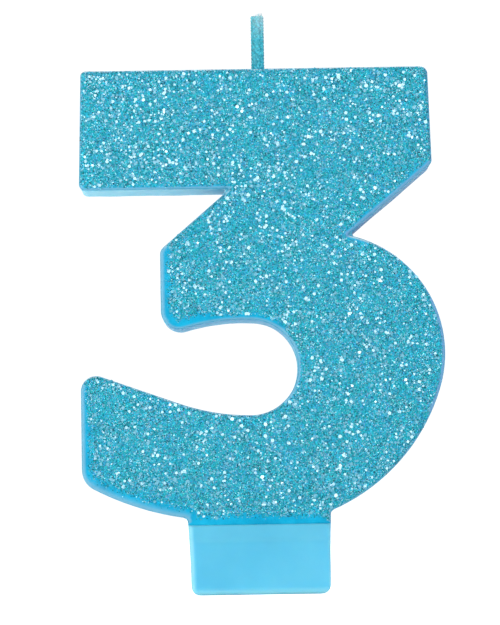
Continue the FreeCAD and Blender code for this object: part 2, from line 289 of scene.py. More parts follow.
def linear(red, green, blue):
    """A screen colour of 0 to 255 as the linear values that shaders take."""
    return tuple(
        v / 12.92 if v <= 0.04045 else ((v + 0.055) / 1.055) ** 2.4
        for v in (red / 255, green / 255, blue / 255))


WAX_TONES = ((0.30, linear(79, 175, 205)), (0.52, linear(85, 180, 208)), (0.74, linear(93, 185, 211)))
WAX_PAINTED_LIGHT = linear(137, 202, 215)        # painted light: paler on the tab's bevels and slope, and under the bar
WAX_PAINTED_SHADE = linear(76, 118, 164)       # painted shade on walls that face right, and less on walls that face down
WAX_PAINTED_DEEP_SHADE = linear(8, 138, 186)          # painted deep shade on walls that face down under the strokes
WAX_FROST = linear(126, 190, 210)       # mottling on the back
COAT_EDGE = linear(84, 164, 194)        # the coat further back, on its wall
RIM_PAINTED_HIGHLIGHT = linear(104, 163, 188)        # painted highlight round the binder's rounded edge
RIM_PAINTED_TOP_HIGHLIGHT = linear(176, 202, 206)       # a brighter painted highlight along edges that face up
RIM_PAINTED_SHADE = linear(98, 146, 184)       # painted shade along edges that face right
DYE_TONES = (
    (0.30, linear(0, 139, 177)), (0.50, linear(0, 151, 189)), (0.72, linear(16, 162, 200)))
FOIL_TONES = (
    (0.00, linear(8, 96, 113)), (0.30, linear(24, 136, 152)),
    (0.65, linear(40, 156, 176)), (1.00, linear(104, 178, 194)))


def wax_material():
    finish = Finish(
        "pale_blue_wax", Subsurface_Weight=0.65, Subsurface_Radius=(0.5, 1.1, 1.6),
        Subsurface_Scale=1.6 * MM, IOR=1.38, Specular_IOR_Level=0.3)
    tone = finish.ramp(finish.noise(9.0, detail=3.0), WAX_TONES)
    # painted light on the tab's bevels and slope and under the bar, and painted shade on walls that face
    # right and down
    tone = finish.blend(finish.attribute("painted_light"), tone, WAX_PAINTED_LIGHT)
    tone = finish.blend(finish.attribute("painted_shade"), tone, WAX_PAINTED_SHADE)
    # painted deep shade, held in the "dyed" values, on walls that face down under the strokes
    tone = finish.blend(finish.attribute("dyed"), tone, WAX_PAINTED_DEEP_SHADE)

    # the back set in the open: it is mottled, and pitted by small bubbles
    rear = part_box("wax_numeral")[1][1]
    on_back = finish.along("Y", rear - 0.9 * MM, rear - 0.3 * MM)
    frost = finish.spread(finish.noise(5.0, detail=6.0, roughness=0.6), 0.46, 0.70)
    tone = finish.blend(finish.times(finish.times(frost, on_back), 0.55), tone, WAX_FROST)
    finish.join(tone, finish.shader.inputs["Base Color"])
    finish.range(finish.noise(1.6, detail=4.0), 0.42, 0.58, "Roughness")
    grain = finish.bump(finish.noise(0.5, detail=3.0), 0.010)
    waves = finish.bump(finish.noise(3.5), 0.05, after=grain)
    pit = finish.spread(finish.cells(2.6)["Distance"], 0.15, 0.05)
    finish.bump(finish.times(finish.times(pit, on_back), -1.0), 0.12, after=waves)
    return finish.material


def coat_material():
    finish = Finish(
        "dyed_coat", Subsurface_Weight=0.35, Subsurface_Radius=(0.3, 1.0, 1.4),
        Subsurface_Scale=0.8 * MM, IOR=1.36, Specular_IOR_Level=0.15)
    low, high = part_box("colour_coat")
    backwards = finish.along("Y", low[1] + 0.05 * MM, high[1] - 0.15 * MM)
    tone = finish.blend(backwards, finish.ramp(finish.noise(2.2, detail=4.0), DYE_TONES), COAT_EDGE)
    finish.join(tone, finish.shader.inputs["Base Color"])
    finish.range(finish.noise(0.9, detail=3.0), 0.18, 0.34, "Roughness")
    finish.bump(finish.noise(0.8, detail=4.0), 0.03)
    return finish.material


def binder_material():
    """Dyed binder full of the finest flakes: small cells, each tilted its own way. Where the "cover" of
    flakes falls off, fewer cells hold a flake and the dye shows."""
    finish = Finish("glitter_binder", IOR=1.36, Specular_IOR_Level=0.15)
    cells = finish.cells(0.17)
    split = finish.add("SeparateColor")
    finish.join(cells["Color"], split.inputs["Color"])
    flake = finish.add("Math")
    flake.operation = "LESS_THAN"
    finish.join(split.outputs["Blue"], flake.inputs[0])
    finish.join(finish.attribute("cover"), flake.inputs[1])

    foil = finish.ramp(split.outputs["Red"], FOIL_TONES)
    dye = finish.ramp(finish.noise(2.2, detail=4.0), DYE_TONES)
    # painted highlight round the rim, brighter along edges that face up, and painted shade along edges
    # that face right
    dye = finish.blend(finish.attribute("rim"), dye, RIM_PAINTED_HIGHLIGHT)
    dye = finish.blend(finish.attribute("painted_top_highlight"), dye, RIM_PAINTED_TOP_HIGHLIGHT)
    dye = finish.blend(finish.attribute("painted_shade"), dye, RIM_PAINTED_SHADE)
    finish.join(finish.blend(flake.outputs["Value"], dye, foil), finish.shader.inputs["Base Color"])

    finish.join(finish.between(flake.outputs["Value"], 0.0, 0.65), finish.shader.inputs["Metallic"])
    finish.join(finish.between(split.outputs["Green"], 0.22, 0.5), finish.shader.inputs["Roughness"])

    # each flake's own tilt, and none on the bare binder
    centred = finish.add("VectorMath")
    centred.operation = "SUBTRACT"
    centred.inputs[1].default_value = (0.5, 0.5, 0.5)
    finish.join(cells["Color"], centred.inputs[0])
    tilt = finish.add("VectorMath")
    tilt.operation = "SCALE"
    finish.join(centred.outputs["Vector"], tilt.inputs[0])
    finish.join(finish.between(flake.outputs["Value"], 0.0, 0.9), tilt.inputs["Scale"])
    face = finish.add("VectorMath")
    finish.join(finish.add("NewGeometry").outputs["Normal"], face.inputs[0])
    finish.join(tilt.outputs["Vector"], face.inputs[1])
    unit = finish.add("VectorMath")
    unit.operation = "NORMALIZE"
    finish.join(face.outputs["Vector"], unit.inputs[0])
    finish.join(unit.outputs["Vector"], finish.shader.inputs["Normal"])
    return finish.material


def flake_material(name, colour, roughness, metallic=0.7, ior=1.5):
    """Foil under an uneven film of clear binder. Its colour is the same over each flake."""
    finish = Finish(
        name, Base_Color=(*colour, 1), Metallic=metallic, Roughness=roughness, IOR=ior,
        Coat_Weight=0.14, Coat_Roughness=0.15)
    finish.bump(finish.noise(0.12, detail=2.0), 0.01, socket="Coat Normal")
    return finish.material


WICK_TONES = ((0.30, linear(2, 92, 106)), (0.48, linear(24, 150, 166)), (0.70, linear(76, 204, 220)))
WICK_PALE = linear(192, 218, 220)
FIBRE_TONES = ((0.35, linear(150, 190, 198)), (0.65, linear(206, 216, 220)))


def wick_material():
    finish = Finish("waxed_cotton", IOR=1.45, Subsurface_Weight=0.2, Subsurface_Scale=0.3 * MM,
                    Coat_Weight=0.2, Coat_Roughness=0.3)
    tone = finish.ramp(finish.noise(0.45, detail=4.0, roughness=0.7), WICK_TONES)

    # paler towards the cut end, most of all on its right-hand side
    low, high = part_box("wick_tail")
    upwards = finish.along("Z", low[2] + 5 * MM, high[2] + 4 * MM)
    rightwards = finish.along("X", low[0] - 0.6 * MM, high[0])
    tone = finish.blend(finish.times(upwards, rightwards), tone, WICK_PALE)
    finish.join(tone, finish.shader.inputs["Base Color"])
    finish.range(finish.noise(0.3), 0.35, 0.65, "Roughness")
    finish.bump(finish.noise(0.07, detail=3.0), 0.02)
    return finish.material


def fibre_material():
    finish = Finish("pale_fibre", IOR=1.45)
    tone = finish.ramp(finish.noise(0.3, detail=3.0), FIBRE_TONES)
    finish.join(tone, finish.shader.inputs["Base Color"])
    finish.range(finish.noise(0.2), 0.5, 0.8, "Roughness")
    return finish.material


# ---------------------------------------------------------------- the figure's outline

COAT_FRONT, COAT_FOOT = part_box("colour_coat")[0][1:]
COAT_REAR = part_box("colour_coat")[1][1]
RIM_STEP = 0.4      # mm between points round the outline


def coat_outline():
    """The coat's outline in X and Z, in order, as short steps round the rim of its rear face."""
    mesh = NODES["colour_coat"].data
    points = coordinates(mesh)
    rear = points[:, 1].max()
    seen = {}
    for corners in triangles(mesh):
        if np.all(np.abs(points[corners, 1] - rear) < 0.01 * MM):
            for i in range(3):
                ends = [tuple(np.round(points[corners[k]][[0, 2]] / MM, 3)) for k in (i, (i + 1) % 3)]
                seen.setdefault(frozenset(ends), []).append(ends)
    onward = dict(bits[0] for bits in seen.values() if len(bits) == 1)
    loop = [next(iter(onward))]
    while onward[loop[-1]] != loop[0]:
        loop.append(onward[loop[-1]])
    corners = np.array(loop)
    steps = []
    for here, following in zip(corners, np.roll(corners, -1, 0)):
        parts = max(1, round(np.linalg.norm(following - here) / RIM_STEP))
        steps += [here + (following - here) * i / parts for i in range(parts)]
    return np.array(steps) * MM


OUTLINE = coat_outline()


def signed_area(loop):
    following = np.roll(loop, -1, 0)
    return ((loop[:, 0] * following[:, 1] - following[:, 0] * loop[:, 1]).sum()) / 2


def inset(loop, distance):
    """The loop moved inwards by this distance."""
    along = np.roll(loop, -1, 0) - np.roll(loop, 1, 0)
    along /= np.linalg.norm(along, axis=1)[:, None]
    inwards = np.stack([-along[:, 1], along[:, 0]], 1) * np.sign(signed_area(loop))
    return loop + inwards * distance


def inside(x, z):
    """Which points lie inside the outline."""
    crossed = np.zeros(len(x), bool)
    for here, following in zip(OUTLINE, np.roll(OUTLINE, -1, 0)):
        spans = (here[1] > z) != (following[1] > z)
        if spans.any():
            at = here[0] + (z - here[1]) * (following[0] - here[0]) / (following[1] - here[1] + 1e-15)
            crossed ^= spans & (x < at)
    return crossed


def outline_tree():
    tree = kdtree.KDTree(len(OUTLINE))
    for index, (x, z) in enumerate(OUTLINE):
        tree.insert((x, z, 0), index)
    tree.balance()
    return tree


OUTLINE_TREE = outline_tree()


def nearest_on_outline(x, z):
    """For each point, how far the outline is and its nearest point there."""
    here = np.stack([x, z], 1)
    near = np.array([OUTLINE_TREE.find((p[0], p[1], 0))[1] for p in here])
    distance = np.full(len(here), np.inf)
    nearest = np.empty_like(here)
    for first in (near, near - 1):
        start = OUTLINE[first]
        along = OUTLINE[(first + 1) % len(OUTLINE)] - start
        t = np.clip(((here - start) * along).sum(1) / (along ** 2).sum(1), 0, 1)
        foot = start + t[:, None] * along
        gap = np.linalg.norm(here - foot, axis=1)
        closer = gap < distance
        distance[closer] = gap[closer]
        nearest[closer] = foot[closer]
    return distance, nearest


# ---------------------------------------------------------------- wax

# the bevels at the tab's left side, right side and foot: width and depth in mm, and how much painted light
# they get
TAB_BEVELS = ((1.0, 0.40, 1.0), (0.55, 0.20, 0.35), (1.2, 0.45, 0.75))
TAB_CREASE = 8.2 * MM       # where the tab's flat front turns into the slope below the coat
TAB_SLOPE = 0.58 * MM       # how far forward that slope comes at the coat's foot
BACK_SINK = 0.32 * MM       # how far the back has sunk along the middle of the strokes
WAX_VOXEL = 0.36 * MM
BAR_UNDERSIDE = 58 * MM     # a wall above this that faces down is the underside of the bar


def tab_gaps(points):
    """How far each point is from the tab's left side, right side and foot."""
    levels = np.arange(2 * MM, 8 * MM, 0.5 * MM)
    sides = []
    for level in levels:
        row = points[np.abs(points[:, 2] - level) < 0.25 * MM, 0]
        sides.append((row.min(), row.max()))
    left, right = (np.polyfit(levels, side, 1) for side in zip(*sides))
    return (points[:, 0] - np.polyval(left, points[:, 2]),
            np.polyval(right, points[:, 2]) - points[:, 0], points[:, 2])


def casting():
    """The model's casting, rebuilt from even quads so that its edges soften."""
    mesh = NODES["wax_numeral"].data.copy()
    shape = bmesh.new()
    shape.from_mesh(mesh)
    bmesh.ops.remove_doubles(shape, verts=shape.verts, dist=0.001 * MM)
    shape.to_mesh(mesh)
    shape.free()
    return remeshed(mesh, WAX_VOXEL)


def pour(points, normals, rear):
    """Moves the points to a poured surface: the back sinks a little along the middle of the strokes, as
    wax does when it sets, and the walls and the back are slightly wavy. The front, under the coat, stays
    true."""
    distance, _ = nearest_on_outline(points[:, 0], points[:, 2])
    on_back = smooth_step((points[:, 1] - (rear - 0.6 * MM)) / (0.5 * MM))
    points[:, 1] -= BACK_SINK * on_back * smooth_step((distance - 1.2 * MM) / (6 * MM))

    under_coat = (points[:, 2] > COAT_FOOT - 0.2 * MM) & (points[:, 1] < COAT_REAR + 0.5 * MM)
    on_foot = points[:, 2] < 0.3 * MM
    waves = np.array([
        noise.noise(Vector(p) / (5 * MM)) * 0.07 + noise.noise(Vector(p) / (1.8 * MM)) * 0.02
        for p in points]) * MM
    waves[under_coat | on_foot] = 0
    points += normals * waves[:, None]
    points[:, 1] = np.minimum(points[:, 1], rear)


def painted_wall_shading(points, normals, rear):
    """How much each point takes of the painted shade, of the painted deep shade and of the painted light.
    Walls that face right get painted shade; walls that face down get a little of it, and painted deep
    shade near the coat, except under the bar, where they get painted light."""
    on_wall = (smooth_step((normals[:, 1] + 0.75) / 0.4)
               * (1 - smooth_step((normals[:, 1] - 0.3) / 0.4)))
    rightward = smooth_step((normals[:, 0] - 0.3) / 0.4)
    downward = smooth_step((-normals[:, 2] - 0.4) / 0.4)
    under_bar = smooth_step((points[:, 2] - BAR_UNDERSIDE) / (3 * MM))
    above_tab = smooth_step((points[:, 2] - COAT_FOOT) / (5 * MM))
    back_from_coat = (points[:, 1] - COAT_REAR) / (rear - COAT_REAR)
    # painted shade on walls that face right, and less on those that face down, growing towards the back
    shaded = np.maximum(rightward, 0.3 * downward * (1 - under_bar))
    painted_shade = (0.6 + 0.2 * np.clip(back_from_coat, 0, 1)) * on_wall * above_tab * shaded
    # painted deep shade, held in the "dyed" values, on walls that face down under the strokes, fading
    # towards the back
    dyed = on_wall * above_tab * downward * (1 - under_bar) * (1 - smooth_step(back_from_coat / 0.8))
    # painted light on walls that face down under the bar
    pale = 0.45 * on_wall * downward * under_bar * (1 - rightward)
    return painted_shade, 0.7 * dyed, pale


def make_wax(material):
    """The casting with its poured surface, and the tab's uneven bevels and slope."""
    mesh = casting()
    points = coordinates(mesh)
    normals = np.empty(len(mesh.vertices) * 3, np.float32)
    mesh.vertices.foreach_get("normal", normals)
    normals = normals.reshape(-1, 3)
    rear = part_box("wax_numeral")[1][1]
    pour(points, normals, rear)

    # the tab's front is bevelled, unevenly, and the slope above it rises to meet the coat's foot
    front = smooth_step((-1.5 * MM - points[:, 1]) / (1.5 * MM))
    on_tab = points[:, 2] < COAT_FOOT
    set_back = np.zeros(len(points))
    painted_light = np.zeros(len(points))
    # each bevel is set back, and gets painted light, most of all on the left and only towards the front
    for gap, (width, depth, painted_light_share) in zip(tab_gaps(points), TAB_BEVELS):
        rest = np.clip(1 - gap / (width * MM), 0, 1) * on_tab
        set_back = np.maximum(set_back, depth * MM * rest ** 2)
        painted_light = np.maximum(painted_light, painted_light_share * smooth_step(rest * 1.6) * front)
    rise = np.clip((points[:, 2] - TAB_CREASE) / (COAT_FOOT - TAB_CREASE), 0, 1)
    # and a little painted light on the slope under the coat
    painted_light = np.maximum(painted_light, 0.10 * smooth_step(rise * 8) * on_tab * front)

    # painted shade, painted deep shade (the "dyed" values) and painted light on the walls
    painted_shade, dyed, pale = painted_wall_shading(points, normals, rear)
    rise[points[:, 2] > COAT_FOOT + 0.45 * MM] = 0
    points[:, 1] += front * (set_back - TAB_SLOPE * rise)
    # the painted light and painted shade, stored for the material
    set_attribute(mesh, "painted_light", np.maximum(painted_light, pale))
    set_attribute(mesh, "painted_shade", painted_shade)
    set_attribute(mesh, "dyed", dyed)
    set_coordinates(mesh, points)
    piece = link("wax_body", mesh, material, "candle")
    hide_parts("wax_numeral")


# ---------------------------------------------------------------- glitter

COAT_ROUND = 0.55 * MM      # radius of the coat's front edge

# Stretches of the outline where bare coat shows past the flakes: lowest and highest X and Z of
# the stretch, the width left bare, and over how much more the flakes thicken. In millimetres.
BARE_STRETCHES = (
    (-12.0, 12.0, 10.5, 11.5, 0.8, 1.3),        # above the straight foot of the coat
    (-26.5, -10.0, 10.5, 19.0, 0.9, 1.6),       # lower arm, its curve underneath
    (-28.5, -26.0, 17.0, 27.0, 0.9, 1.0),       # lower arm, its end
    (-28.5, -26.0, 27.0, 33.5, 0.6, 0.8),       # and further up
    (-15.5, -14.0, 44.0, 56.0, 0.9, 1.2),       # blunt end of the middle
    (-15.5, -7.0, 40.5, 44.5, 1.0, 1.3),        # its lower corner
    (-7.0, 4.0, 40.5, 44.5, 0.5, 0.7),          # roof of the counter
    (4.0, 8.0, 30.0, 43.0, 0.25, 0.5),          # the counter's round end
    (-27.5, -4.0, 63.0, 64.5, 0.2, 0.6),        # underside of the bar
    (14.0, 28.0, 55.0, 67.5, 0.5, 0.4),         # the long slant under the bar's right end
    (27.0, 30.0, 26.0, 46.0, 0.3, 0.4),         # widest part of the bowl
)


def flake_share(points):
    """How likely a flake is to stay at each point: 0 on bare coat, 1 well inside the glitter."""
    distance, nearest = nearest_on_outline(points[:, 0], points[:, 2])
    nearest = nearest / MM
    bare = np.zeros(len(points))
    soft = np.full(len(points), 0.38)
    for low_x, high_x, low_z, high_z, width, thicken in BARE_STRETCHES:
        here = ((nearest[:, 0] > low_x) & (nearest[:, 0] < high_x)
                & (nearest[:, 1] > low_z) & (nearest[:, 1] < high_z))
        bare[here] = np.maximum(bare[here], width)
        soft[here] = np.maximum(soft[here], thicken)
    ragged = np.array([noise.noise(Vector((p[0], 0, p[2])) / (1.3 * MM)) for p in points])
    bare = bare * (1 + 0.5 * ragged)
    return smooth_step((distance / MM - bare) / soft)


RIM_INSETS = (0.10, 0.20, 0.34, 0.52, 0.75)     # rings of points round the binder's edge, in mm
GRID = 0.52 * MM                                # the points' spacing further in
ARM_CURVE_TOP = 25 * MM                         # an edge below this that faces down is the lower arm's


def binder_sheet():
    """The binder before it has any thickness: points in X and Z, and triangles between them."""
    rings = [inset(OUTLINE, gap * MM) for gap in RIM_INSETS]
    low, high = OUTLINE.min(0), OUTLINE.max(0)
    rows = []
    for i, z in enumerate(np.arange(low[1], high[1], GRID * math.sqrt(3) / 2)):
        row = np.arange(low[0] + (i % 2) * GRID / 2, high[0], GRID)
        rows.append(np.stack([row, np.full_like(row, z)], 1))
    grid = np.concatenate(rows)
    grid += np.random.default_rng(5).uniform(-0.12, 0.12, grid.shape) * GRID
    grid = grid[inside(grid[:, 0], grid[:, 1])]
    gap, _ = nearest_on_outline(grid[:, 0], grid[:, 1])
    grid = grid[gap > (RIM_INSETS[-1] * MM + GRID * 0.6)]
    flat = np.concatenate(rings + [grid])
    count = len(OUTLINE)
    rim = [(i, (i + 1) % count) for i in range(count)]
    flat_points, _, faces, *_ = geometry.delaunay_2d_cdt(
        [Vector(p / MM) for p in flat], rim, [], 1, 1e-5)
    return np.array([tuple(p) for p in flat_points]) * MM, np.array(list(faces), np.int64)


def edge_tones(flat, gap, foot_point):
    """How much of each edge tone every point takes: a painted highlight round the rim, paler than the dye,
    painted shade on its part that faces right, and a brighter painted highlight along the edges that face
    up."""
    at_foot = foot_point[:, 1] < COAT_FOOT + 0.3 * MM
    towards = (foot_point - flat) / (gap[:, None] + 1e-9)
    under_arm = smooth_step((-towards[:, 1] - 0.5) / 0.3) * (flat[:, 1] < ARM_CURVE_TOP)
    sideways = smooth_step((np.abs(towards[:, 0]) - 0.5) / 0.3)
    fade = 0.32 + 0.65 * under_arm + 0.22 * sideways
    # painted highlight round the rim, wider on the sides and under the arm, and none at the foot
    rim = np.where(at_foot, 0, 1 - smooth_step((gap / MM - 0.16 - 0.10 * sideways) / fade))
    # painted shade on the rim where it faces right
    painted_shade = rim * smooth_step((towards[:, 0] - 0.3) / 0.5)
    # a brighter painted highlight along the edges that face up
    painted_top_highlight = (1 - smooth_step((gap / MM - 0.10) / 0.3)) * smooth_step((towards[:, 1] - 0.6) / 0.3)
    return {"rim": rim, "painted_shade": painted_shade, "painted_top_highlight": painted_top_highlight}


def make_binder(material):
    """The layer that holds the flakes. It follows the coat's rounded edge, thickens inwards and is
    lumpy."""
    flat, faces = binder_sheet()
    gap, foot_point = nearest_on_outline(flat[:, 0], flat[:, 1])
    sunk = np.clip(COAT_ROUND - gap, 0, COAT_ROUND)
    sunk[flat[:, 1] < COAT_FOOT + 0.6 * MM] = 0
    surface = COAT_FRONT + COAT_ROUND - np.sqrt(COAT_ROUND ** 2 - sunk ** 2)
    spots = np.stack([flat[:, 0], surface, flat[:, 1]], 1)
    cover = flake_share(spots)
    lumps = np.array([noise.noise(Vector(p) / (0.9 * MM)) for p in spots])
    film = COAT_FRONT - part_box("glitter_film")[0][1]
    inwards = smooth_step(gap / (1.0 * MM))
    thick = film * (0.25 + 0.65 * inwards * (0.4 + 0.6 * cover) + 0.22 * lumps)
    thick = np.clip(thick, 0.12 * film, None)
    front_points = spots - np.stack([thick * 0, thick, thick * 0], 1)
    back_points = spots + np.array([0, 0.05 * MM, 0])

    size = len(flat)
    edges = [(face[i], face[(i + 1) % 3]) for face in faces for i in range(3)]
    inner = set(edges)
    border = [(a, b) for a, b in edges if (b, a) not in inner]
    walls = np.array([(b, a, a + size, b + size) for a, b in border])
    mesh = polygons("glitter_base", np.concatenate([front_points, back_points]),
                    [faces, faces[:, ::-1] + size, walls])
    # the edge tones are painted highlight and painted shade
    for attribute, values in {"cover": cover, **edge_tones(flat, gap, foot_point)}.items():
        set_attribute(mesh, attribute, np.concatenate([values, values]))
    for polygon in mesh.polygons:
        polygon.use_smooth = len(polygon.vertices) == 3
    piece = link("glitter_base", mesh, material, "candle")
    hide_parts("glitter_film")
    return piece


class Front:
    """The binder's front, to scatter flakes over."""

    def __init__(self, binder):
        points = coordinates(binder.data)
        corners = points[triangles(binder.data)]
        cross = np.cross(corners[:, 1] - corners[:, 0], corners[:, 2] - corners[:, 0])
        size = np.linalg.norm(cross, axis=1)
        keep = (size > 1e-14) & (cross[:, 1] < -0.25 * size)
        self.corners = corners[keep]
        self.normals = cross[keep] / size[keep, None]
        self.share = size[keep] / size[keep].sum()

    def scatter(self, count, rng):
        """Random points, evenly spread over the surface, with the way the surface faces there."""
        pick = rng.choice(len(self.share), count, p=self.share)
        a, b = rng.random(count), rng.random(count)
        fold = a + b > 1
        a[fold], b[fold] = 1 - a[fold], 1 - b[fold]
        c = self.corners[pick]
        points = c[:, 0] + a[:, None] * (c[:, 1] - c[:, 0]) + b[:, None] * (c[:, 2] - c[:, 0])
        return points, self.normals[pick].copy()


FLAKE_DEPTH = 0.22      # how deep a flake's hidden point is, as a share of its width


def flake_mesh(name, centres, normals, across, sides, tilt, rng):
    """One closed flake at each centre: an uneven flat face, tilted by some degrees, and a point hidden
    behind it."""
    count = len(centres)
    normals = normals + rng.normal(0, math.tan(math.radians(tilt)), (count, 3))
    normals /= np.linalg.norm(normals, axis=1)[:, None]
    any_way = rng.normal(size=(count, 3))
    u = np.cross(normals, any_way)
    u /= np.linalg.norm(u, axis=1)[:, None]
    v = np.cross(normals, u)
    reach = across[:, None] / 2 * rng.uniform(0.72, 1.0, (count, sides))
    angles = 2 * math.pi * (np.arange(sides)[None] + rng.uniform(-0.12, 0.12, (count, sides))) / sides
    rim = (centres[:, None] + (reach * np.cos(angles))[..., None] * u[:, None]
           + (reach * np.sin(angles))[..., None] * v[:, None])
    behind = centres - normals * across[:, None] * FLAKE_DEPTH
    points = np.concatenate([rim, behind[:, None]], 1).reshape(-1, 3)

    step = sides + 1
    ring = np.arange(sides)
    first = np.arange(count)[:, None] * step
    fronts = first + ring[None]
    backs = np.stack([
        np.broadcast_to((ring + 1) % sides, (count, sides)) + first,
        np.broadcast_to(ring, (count, sides)) + first,
        np.broadcast_to(first + sides, (count, sides))], -1).reshape(-1, 3)
    mesh = polygons(name, points, [fronts, backs])
    mesh.shade_flat()
    return mesh


def polygons(name, points, groups):
    """A mesh from points and groups of faces, where each group's faces have the same number of corners."""
    mesh = bpy.data.meshes.new(name)
    mesh.vertices.add(len(points))
    mesh.vertices.foreach_set("co", np.asarray(points, np.float32).ravel())
    corners = np.concatenate([group.ravel() for group in groups]).astype(np.int32)
    sizes = np.concatenate([np.full(len(group), group.shape[1]) for group in groups])
    mesh.loops.add(len(corners))
    mesh.loops.foreach_set("vertex_index", corners)
    mesh.polygons.add(len(sizes))
    starts = np.concatenate([[0], np.cumsum(sizes)[:-1]]).astype(np.int32)
    mesh.polygons.foreach_set("loop_start", starts)
    mesh.update(calc_edges=True)
    mesh.validate()
    return mesh


# name, how many flakes, colour, roughness, smallest and largest width in mm
FINE_FLAKES = (
    ("glitter_cyan", 28000, linear(0, 156, 182), 0.40, 0.18, 0.34),
    ("glitter_turquoise", 18000, linear(4, 159, 162), 0.40, 0.18, 0.34),
    ("glitter_blue", 20000, linear(37, 138, 187), 0.38, 0.17, 0.32),
    ("glitter_teal", 12000, linear(0, 76, 93), 0.40, 0.15, 0.27),
    ("glitter_lilac", 8000, linear(122, 150, 186), 0.36, 0.14, 0.24),
    ("glitter_pale", 13000, linear(153, 211, 219), 0.34, 0.14, 0.25),
    ("glitter_deep", 6500, linear(0, 48, 64), 0.40, 0.16, 0.28),
)


def patches(points, size, seed):
    """Slow random change from place to place, about this many millimetres across."""
    return np.array([noise.noise(Vector(p) / (size * MM) + Vector((seed, 0, 0))) for p in points])


def placed(front, count, rng, size, seed, depth):
    """Centres and facings for this many flakes where the glitter lies, thinner in some patches."""
    centres, facings = [], []
    while sum(map(len, centres)) < count:
        points, normals = front.scatter(count, rng)
        thinned = np.clip(1 + depth * (patches(points, size, seed) * 1.6 - 0.4), 0, 1)
        keep = rng.random(count) < flake_share(points) * thinned
        centres.append(points[keep])
        facings.append(normals[keep])
    centres = np.concatenate(centres)[:count]
    return centres, np.concatenate(facings)[:count]


# The patches that flakes gather in: size in mm, seed, and how far they thin out between patches.
# The deep flakes share the patches of the large ones: painted shadow between them.
SPARKLE_PATCHES = (2.4, 40.0, 0.8)
SPARKLE_COUNT = 3600
SPARKLE_WIDTHS = (0.26, 0.40, 0.78)     # smallest, commonest and largest, in mm


def make_fine_flakes(front):
    for number, (name, count, colour, roughness, least, most) in enumerate(FINE_FLAKES):
        rng = np.random.default_rng(10 + number)
        # the deep flakes gather where the large ones do, as painted shadow round them
        gathered = SPARKLE_PATCHES if name == "glitter_deep" else (1.6, 3.0 * number, 0.7)
        centres, facings = placed(front, count, rng, *gathered)
        centres += facings * rng.uniform(0.0, 0.03, count)[:, None] * MM
        across = rng.uniform(least, most, count) * MM
        mesh = flake_mesh(name, centres, facings, across, sides=4, tilt=13, rng=rng)
        material = flake_material(name + "_foil", colour, roughness)
        link(name, mesh, material, "candle")


def make_sparkle_flakes(front):
    """The large flakes, lying over the fine ones and in loose groups."""
    rng = np.random.default_rng(3)
    centres, facings = placed(front, SPARKLE_COUNT, rng, *SPARKLE_PATCHES)
    centres += facings * rng.uniform(0.07, 0.11, SPARKLE_COUNT)[:, None] * MM
    across = rng.triangular(*SPARKLE_WIDTHS, SPARKLE_COUNT) * MM
    mesh = flake_mesh("sparkle_flakes", centres, facings, across, sides=6, tilt=7, rng=rng)
    material = flake_material("clear_foil", linear(8, 150, 176), 0.11, metallic=0.05, ior=2.3)
    piece = link("sparkle_flakes", mesh, material, "candle")
    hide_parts("large_flakes")


# ---------------------------------------------------------------- wick

STRANDS = 8                 # wound each way round the core
PLIES = 3                   # lobes of each strand's section
BRAID_LEAD = 8.0 * MM       # the height in which a strand goes round once
STRAND_WIDTH = 0.26 * MM
STRAND_DEPTH = 0.16 * MM
CORE_SHARE = 0.72           # the core's radius, as a share of the cord's
BRAID_STEPS = 90
CORE_STEPS = 12
BRAID_VOXEL = 0.055 * MM
FIBRES = 46


def make_fibres(material):
    """Loose cotton ends round the cut top of the wick, most of them on its right-hand side."""
    low, high = (np.array(corner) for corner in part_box("wick_tail"))
    middle = (low + high) / 2
    rng = np.random.default_rng(8)
    steps = 7
    tubes = Tubes(around=5)
    for fibre in range(FIBRES):
        angle = rng.normal(0.2, 0.9) if fibre % 4 else rng.uniform(0, 2 * math.pi)
        out = np.array([math.cos(angle), math.sin(angle), 0])
        across = np.array([-out[1], out[0], 0])
        start = np.array([middle[0], middle[1], high[2] - rng.uniform(0.3, 1.0) * MM])
        start = start + out * rng.uniform(0.2, 0.86) * MM
        length = rng.uniform(0.7, 1.5) * MM
        spread = rng.uniform(-0.1, 0.28) * MM
        wander = rng.uniform(-0.2, 0.2) * MM
        thick = rng.uniform(0.02, 0.036) * MM
        rings = []
        for i in range(steps):
            t = i / (steps - 1)
            at = start + out * spread * t * t + across * wander * math.sin(2.5 * t)
            at[2] = min(at[2] + length * t, high[2] + 0.45 * MM + 0.1 * MM * math.sin(fibre))
            at[2] -= 0.002 * MM * (steps - i)
            reach = thick * (1 - 0.5 * t)
            rings.append([
                at + (out * math.cos(turn) + across * math.sin(turn)) * reach
                for turn in tubes.ring_angles()])
        tubes.add(rings)
    mesh = mesh_from("wick_fibres", tubes.points, tubes.faces)
    link("wick_fibres", mesh, material, "wick_tip")


